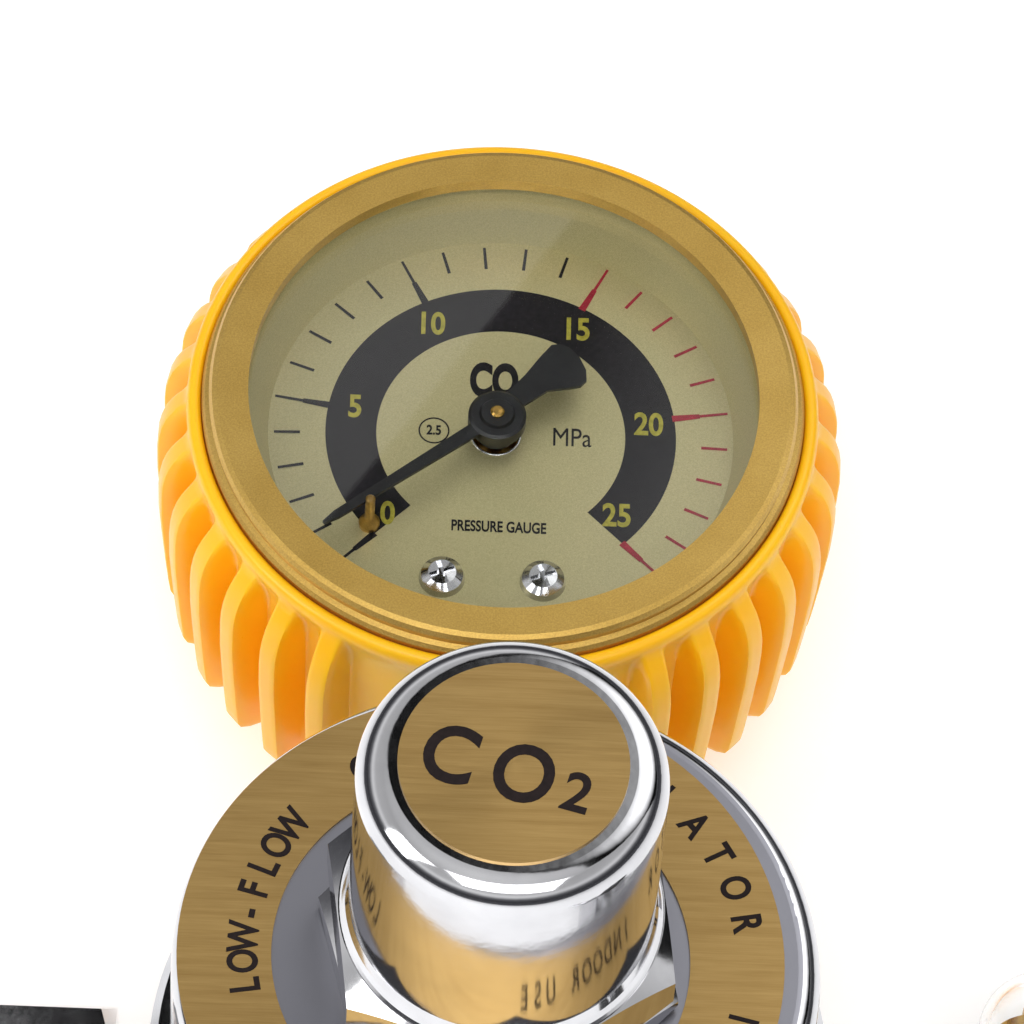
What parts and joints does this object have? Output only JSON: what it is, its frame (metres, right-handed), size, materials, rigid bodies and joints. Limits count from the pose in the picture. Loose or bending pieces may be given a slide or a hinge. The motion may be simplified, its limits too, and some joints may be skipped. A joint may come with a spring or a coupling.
{
  "type": "carbon dioxide regulator",
  "caption": "Gas pressure regulator with a round contents gauge in a ribbed boot, a chromed bonnet and cap, a hexagon inlet nut and a clear flow tube with a hose tail.",
  "frame": {"origin": "on the bonnet axis, at the flat back face of the body", "axes": "+Z along the bonnet axis towards the cap, +Y to the gauge, +X to the flow tube; it lies on its back"},
  "size_m": [0.1248, 0.1778, 0.0971],
  "materials": {
    "chrome": "polished chrome plate on brass",
    "gold_metal": "gold-tinted satin lacquer",
    "label_metal": "brushed gold anodised foil",
    "brass": "machined",
    "steel": "machined",
    "spring_steel": "drawn wire",
    "boot_rubber": "glossy moulded yellow-orange rubber",
    "black_rubber": "matt moulded rubber",
    "nylon": "turned nylon",
    "case_metal": "dark lacquer",
    "dial_print": "olive metallic print",
    "pointer_black": "matt black enamel",
    "glass": "clear flat glass",
    "clear_plastic": "clear moulded polycarbonate",
    "black_plastic": "moulded",
    "float_red": "polished ball",
    "bronze_filter": "sintered bronze"
  },
  "bodies": {
    "regulator": {"body": "chrome", "bonnet": "chrome", "inlet_nipple": "chrome", "gauge_socket": "chrome", "outlet_union": "chrome", "flow_block": "chrome", "guard_nut": "chrome", "relief_body": "chrome", "relief_cap": "chrome", "valve_gland": "chrome", "dial_screws": "chrome", "hose_tail": "chrome", "gauge_bezel": "gold_metal", "bonnet_label": "label_metal", "valve_nozzle": "brass", "back_plug": "brass", "stop_pin": "brass", "movement_frame": "brass", "bourdon_tube": "brass", "tube_plug": "brass", "slip_ring": "steel", "adjusting_locknut": "steel", "main_spring": "spring_steel", "valve_spring": "spring_steel", "relief_spring": "spring_steel", "gauge_boot": "boot_rubber", "diaphragm": "black_rubber", "tube_seals": "black_rubber", "glass_gasket": "black_rubber", "back_plug_seal": "nylon", "inlet_seal": "nylon", "gauge_gasket": "nylon", "gauge_case": "case_metal", "dial": "dial_print", "gauge_glass": "glass", "taper_tube": "glass", "flow_guard": "clear_plastic", "inlet_filter": "bronze_filter"},
    "inlet_nut": {"inlet_nut": "chrome"},
    "cap_washer": {"cap_washer": "nylon"},
    "cap": {"cap_nut": "chrome", "cap_label": "label_metal"},
    "spring_button": {"spring_button": "steel"},
    "adjusting_screw": {"adjusting_screw": "steel"},
    "valve_train": {"diaphragm_plate": "steel", "valve_pin": "steel", "valve_poppet": "brass", "poppet_seat": "nylon"},
    "pointer": {"pointer": "pointer_black", "pinion_arbor": "brass"},
    "sector": {"sector_gear": "brass"},
    "link": {"movement_link": "brass"},
    "needle_oring": {"needle_oring": "black_rubber"},
    "flow_valve": {"flow_knob": "black_plastic", "needle_stem": "steel", "knob_screw": "steel"},
    "float": {"flow_float": "float_red"},
    "relief_disc": {"relief_disc": "brass", "relief_seat": "black_rubber"}
  },
  "joints": [
    {"name": "inlet_nut_turn", "type": "hinge", "parent": "regulator", "child": "inlet_nut", "pos_m": [-0.05, 0, 0.019], "axis": [1, 0, 0], "continuous": true},
    {"name": "cap_turn", "type": "hinge", "parent": "cap_washer", "child": "cap", "pos_m": [0, 0, 0.08], "axis": [0, 0, 1], "range_deg": [0, 2160]},
    {"name": "cap_rise", "type": "slide", "parent": "regulator", "child": "cap_washer", "axis": [0, 0, 1], "range_m": [0, 0.009]},
    {"name": "screw_turn", "type": "hinge", "parent": "spring_button", "child": "adjusting_screw", "pos_m": [0, 0, 0.085], "axis": [0, 0, -1], "range_deg": [0, 1440]},
    {"name": "button_travel", "type": "slide", "parent": "regulator", "child": "spring_button", "axis": [0, 0, -1], "range_m": [0, 0.006], "deforming": ["main_spring"]},
    {"name": "valve_lift", "type": "slide", "parent": "regulator", "child": "valve_train", "axis": [0, 0, -1], "range_m": [0, 0.0012], "deforming": ["diaphragm", "valve_spring"]},
    {"name": "pointer_turn", "type": "hinge", "parent": "regulator", "child": "pointer", "pos_m": [-0.0005, 0.0758, 0.036], "axis": [0, 0, -1], "range_deg": [0, 264]},
    {"name": "sector_turn", "type": "hinge", "parent": "regulator", "child": "sector", "pos_m": [-0.0005, 0.0608, 0.026], "axis": [0, 0, -1], "range_deg": [-53, 0]},
    {"name": "link_turn", "type": "hinge", "parent": "sector", "child": "link", "pos_m": [-0.00574, 0.06447, 0.028], "axis": [0, 0, -1], "range_deg": [0, 53]},
    {"name": "needle_rise", "type": "slide", "parent": "regulator", "child": "needle_oring", "axis": [0, 0, 1], "range_m": [0, 0.00225]},
    {"name": "knob_turn", "type": "hinge", "parent": "needle_oring", "child": "flow_valve", "pos_m": [0.0548, -0.025, 0.04], "axis": [0, 0, 1], "range_deg": [0, 1080]},
    {"name": "float_rise", "type": "slide", "parent": "regulator", "child": "float", "axis": [0, 1, 0], "range_m": [0, 0.0245]},
    {"name": "relief_lift", "type": "slide", "parent": "regulator", "child": "relief_disc", "axis": [0, -1, 0], "range_m": [0, 0.0012], "stiffness_N_per_m": 2000, "springref_m": -0.004, "deforming": ["relief_spring"]}
  ],
  "couplings": [
    {"joint": "cap_turn", "follows": "cap_rise", "rad_per_m": 4188.8},
    {"joint": "screw_turn", "follows": "button_travel", "rad_per_m": 4188.8},
    {"joint": "valve_lift", "follows": "button_travel", "ratio": 0.2},
    {"joint": "sector_turn", "follows": "pointer_turn", "ratio": -0.2},
    {"joint": "link_turn", "follows": "pointer_turn", "ratio": 0.2},
    {"joint": "knob_turn", "follows": "needle_rise", "rad_per_m": 8377.6}
  ]
}
